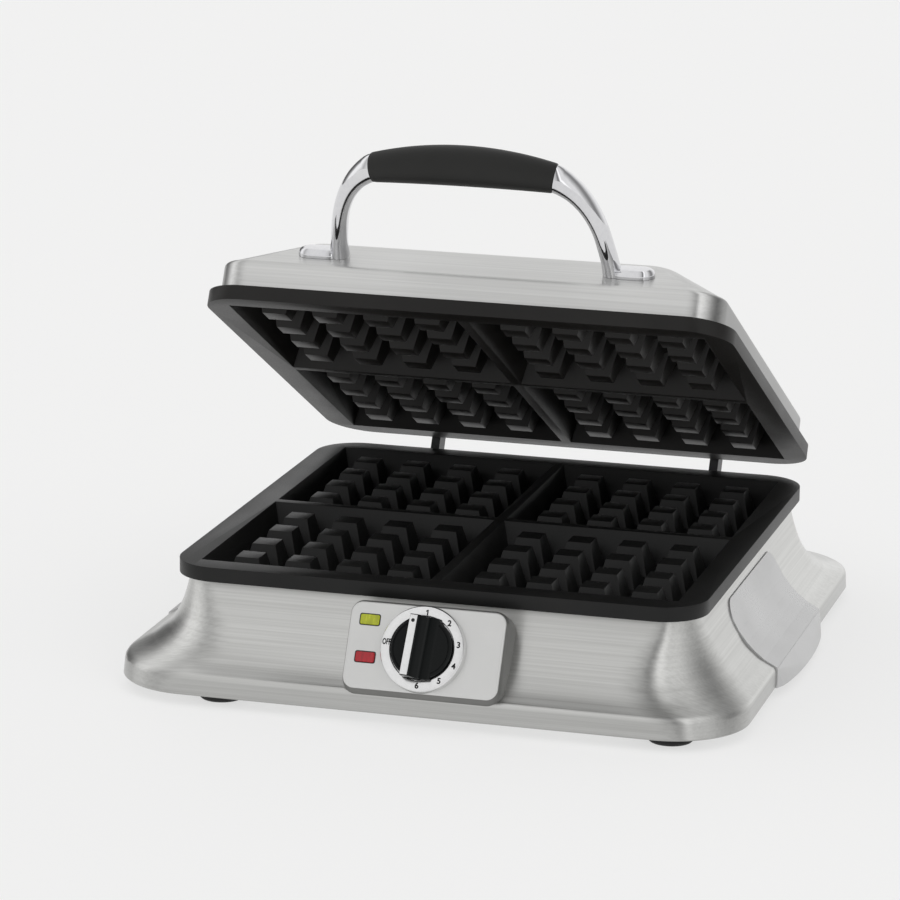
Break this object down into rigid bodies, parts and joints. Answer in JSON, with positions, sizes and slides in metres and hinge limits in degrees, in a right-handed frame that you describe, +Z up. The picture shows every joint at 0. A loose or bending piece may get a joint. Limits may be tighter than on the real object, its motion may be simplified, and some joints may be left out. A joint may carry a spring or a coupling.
{
  "type": "waffle maker",
  "caption": "Square waffle maker with flared steel base, front dial, hinged lid with bail handle and two gridded plates.",
  "frame": {"origin": "on the table under the centre of the square cooking plates, at the level of the feet", "axes": "+Z up, -Y to the front with the dial, +X to the user's right when facing the dial; the hinge axis runs along X at the back"},
  "size_m": [0.3448, 0.358, 0.2824],
  "materials": {
    "brushed_stainless": "brushed, horizontal grain",
    "silver_plastic": "fine satin silver paint",
    "bright_ring": "satin",
    "rubber": "matte",
    "lower_coating": "satin non-stick coating over cast aluminium",
    "upper_coating": "satin non-stick coating over cast aluminium",
    "zinc_steel": "zinc plated",
    "heater_sheath": "heat tinted",
    "reflector_sheet": "mill finish",
    "green_lamp": "translucent moulding",
    "red_lamp": "translucent moulding",
    "lamp_glass": "clear",
    "lamp_housing": "moulded",
    "steatite": "unglazed",
    "black_nylon": "moulded",
    "gloss_black": "gloss",
    "matte_black": "matte soft touch",
    "dark_steel": "satin black",
    "brass": "plain",
    "chrome": "polished"
  },
  "bodies": {
    "base": {"base_shell": "brushed_stainless", "side_grip_right": "silver_plastic", "side_grip_left": "silver_plastic", "bottom_pan": "zinc_steel", "foot_front_left": "rubber", "foot_front_right": "rubber", "foot_back_left": "rubber", "foot_back_right": "rubber", "foot_screws": "zinc_steel", "lower_plate": "lower_coating", "lower_element": "heater_sheath", "lower_element_clamps": "zinc_steel", "lower_reflector": "reflector_sheet", "lower_plate_posts": "zinc_steel", "lower_plate_screws": "zinc_steel", "control_panel": "silver_plastic", "dial_ring": "bright_ring", "green_lens": "green_lamp", "red_lens": "red_lamp", "lamp_holder": "lamp_housing", "pilot_lamps": "lamp_glass", "thermostat_body": "steatite", "thermostat_bracket": "zinc_steel", "thermal_fuse": "zinc_steel", "terminal_block": "steatite", "cord_gland": "black_nylon", "hinge_bracket_left": "dark_steel", "hinge_bracket_right": "dark_steel", "hinge_bracket_screws": "zinc_steel"},
    "knob": {"control_knob": "gloss_black", "knob_pointer": "bright_ring", "thermostat_shaft": "zinc_steel"},
    "lid": {"lid_shell": "brushed_stainless", "upper_plate": "upper_coating", "upper_element": "heater_sheath", "upper_element_clamps": "zinc_steel", "upper_reflector": "reflector_sheet", "upper_plate_screws": "zinc_steel", "hinge_arm_left": "dark_steel", "hinge_arm_right": "dark_steel", "hinge_arm_screws": "zinc_steel", "hinge_pin_left": "zinc_steel", "hinge_pin_right": "zinc_steel", "hinge_washers": "brass", "lid_handle": "chrome", "handle_grip": "matte_black", "handle_screws": "zinc_steel"}
  },
  "joints": [
    {"name": "lid_hinge", "type": "hinge", "parent": "base", "child": "lid", "pos_m": [0, 0.1528, 0.0358], "axis": [-1, 0, 0], "range_deg": [-27.3, 75]},
    {"name": "knob_turn", "type": "hinge", "parent": "base", "child": "knob", "pos_m": [0.0046, -0.16627, 0.04061], "axis": [0, -0.8957, 0.4446], "range_deg": [-187, 93]}
  ]
}
